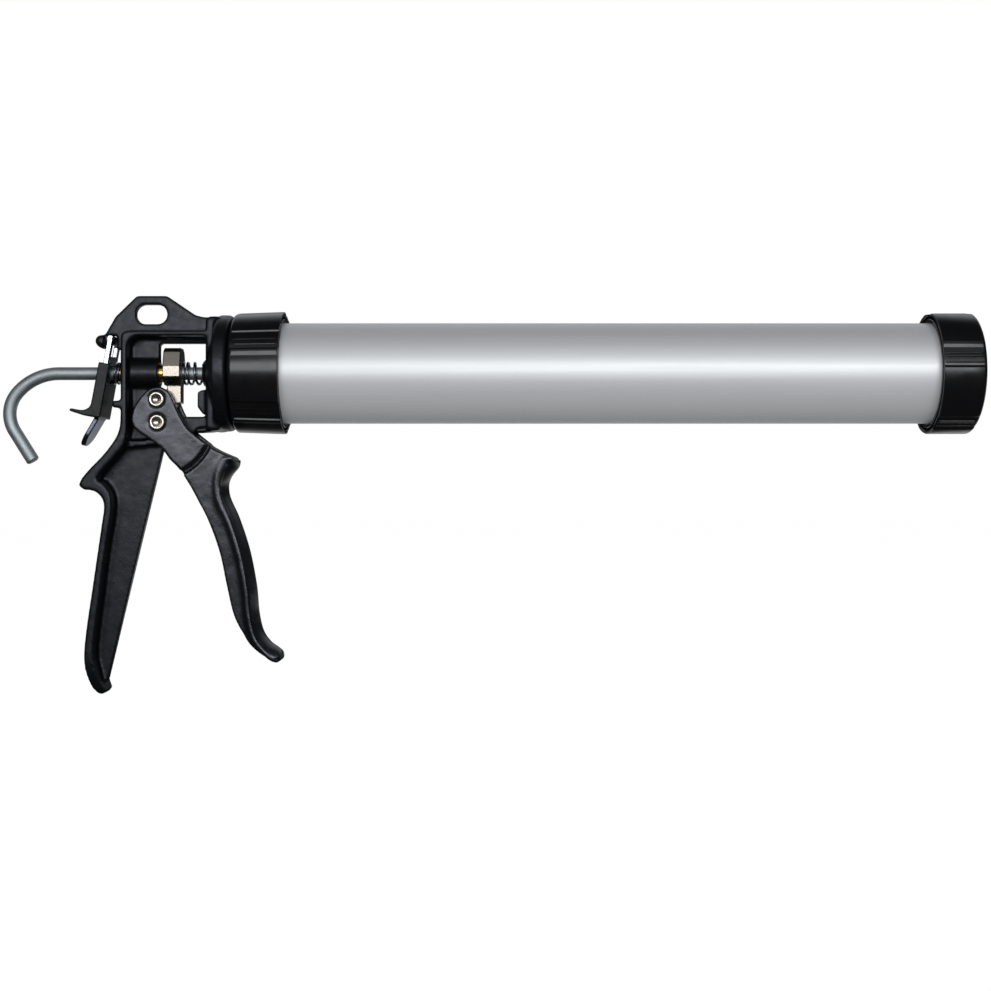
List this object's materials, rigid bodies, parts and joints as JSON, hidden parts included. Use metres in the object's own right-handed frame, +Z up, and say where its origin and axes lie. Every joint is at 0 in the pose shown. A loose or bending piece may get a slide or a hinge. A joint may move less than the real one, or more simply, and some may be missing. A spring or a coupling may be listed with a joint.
{
  "type": "caulking gun",
  "caption": "Bulk and sausage caulking gun: cast frame and fixed grip, squeeze trigger, hooked pull rod with piston, tilting lock plate, and an open barrel between screw collars.",
  "frame": {"origin": "centre of the hanging slot in the plate above the frame, in the gun's plane of symmetry", "axes": "+X along the pull rod towards the front cap, +Y to the gun's left side, +Z up, away from the grip"},
  "size_m": [0.5214, 0.0653, 0.2143],
  "materials": {
    "black_casting": "satin black powder coat on a die casting",
    "black_nylon": "moulded, semi-gloss",
    "cover_nylon": "moulded, matt",
    "pale_nylon": "moulded, natural",
    "zinc_steel": "bright zinc plate",
    "satin_aluminium": "satin anodised",
    "sintered_steel": "as sintered, fine-grained",
    "brass": "turned"
  },
  "bodies": {
    "frame": {"frame_casting": "black_casting", "rear_rod_bush": "brass", "front_rod_bush": "brass", "cap_retainer_plate": "zinc_steel", "retainer_screw_1": "zinc_steel", "retainer_screw_2": "zinc_steel", "retainer_screw_3": "zinc_steel", "drive_spring": "zinc_steel", "lock_spring": "zinc_steel"},
    "trigger": {"trigger": "black_casting", "trigger_pivot_rivet": "zinc_steel", "drive_rivet": "zinc_steel", "drive_sleeve": "zinc_steel"},
    "drive": {"drive_block": "sintered_steel"},
    "lock": {"lock_plate": "zinc_steel", "lock_cover": "cover_nylon"},
    "barrel": {"rear_cap": "black_nylon", "barrel_tube": "satin_aluminium"},
    "ring": {"nozzle_ring": "pale_nylon"},
    "cap": {"front_cap": "black_nylon"},
    "piston": {"piston_cup": "pale_nylon"},
    "rod": {"pull_rod": "zinc_steel", "piston_back_nut": "zinc_steel", "piston_back_washer": "zinc_steel", "piston_front_washer": "zinc_steel", "piston_front_nut": "zinc_steel"}
  },
  "joints": [
    {"name": "trigger_pull", "type": "hinge", "parent": "frame", "child": "trigger", "pos_m": [0.0047, 0, -0.0585], "axis": [0, 1, 0], "range_deg": [0, 26], "stiffness_Nm_per_rad": 0.3, "springref_deg": -37.24},
    {"name": "drive_travel", "type": "slide", "parent": "frame", "child": "drive", "axis": [1, 0, 0], "range_m": [0, 0.0054], "deforming": ["drive_spring"]},
    {"name": "lock_release", "type": "hinge", "parent": "frame", "child": "lock", "pos_m": [-0.0202, 0, -0.0128], "axis": [0, -1, 0], "range_deg": [0, 8], "stiffness_Nm_per_rad": 0.4, "springref_deg": -28.65, "deforming": ["lock_spring"]},
    {"name": "barrel_turn", "type": "hinge", "parent": "frame", "child": "barrel", "pos_m": [0.0452, 0, -0.0318], "axis": [1, 0, 0], "continuous": true},
    {"name": "cap_travel", "type": "slide", "parent": "barrel", "child": "ring", "axis": [1, 0, 0], "range_m": [0, 0.012]},
    {"name": "cap_turn", "type": "hinge", "parent": "ring", "child": "cap", "pos_m": [0.4302, 0, -0.0318], "axis": [1, 0, 0], "range_deg": [0, 1080]},
    {"name": "rod_pull", "type": "slide", "parent": "frame", "child": "piston", "axis": [1, 0, 0], "range_m": [-0.335, 0]},
    {"name": "rod_turn", "type": "hinge", "parent": "piston", "child": "rod", "pos_m": [0.4, 0, -0.0318], "axis": [1, 0, 0], "continuous": true}
  ],
  "couplings": [
    {"joint": "drive_travel", "follows": "trigger_pull", "m_per_rad": 0.01185},
    {"joint": "cap_travel", "follows": "cap_turn", "m_per_rad": 0.0006366}
  ]
}
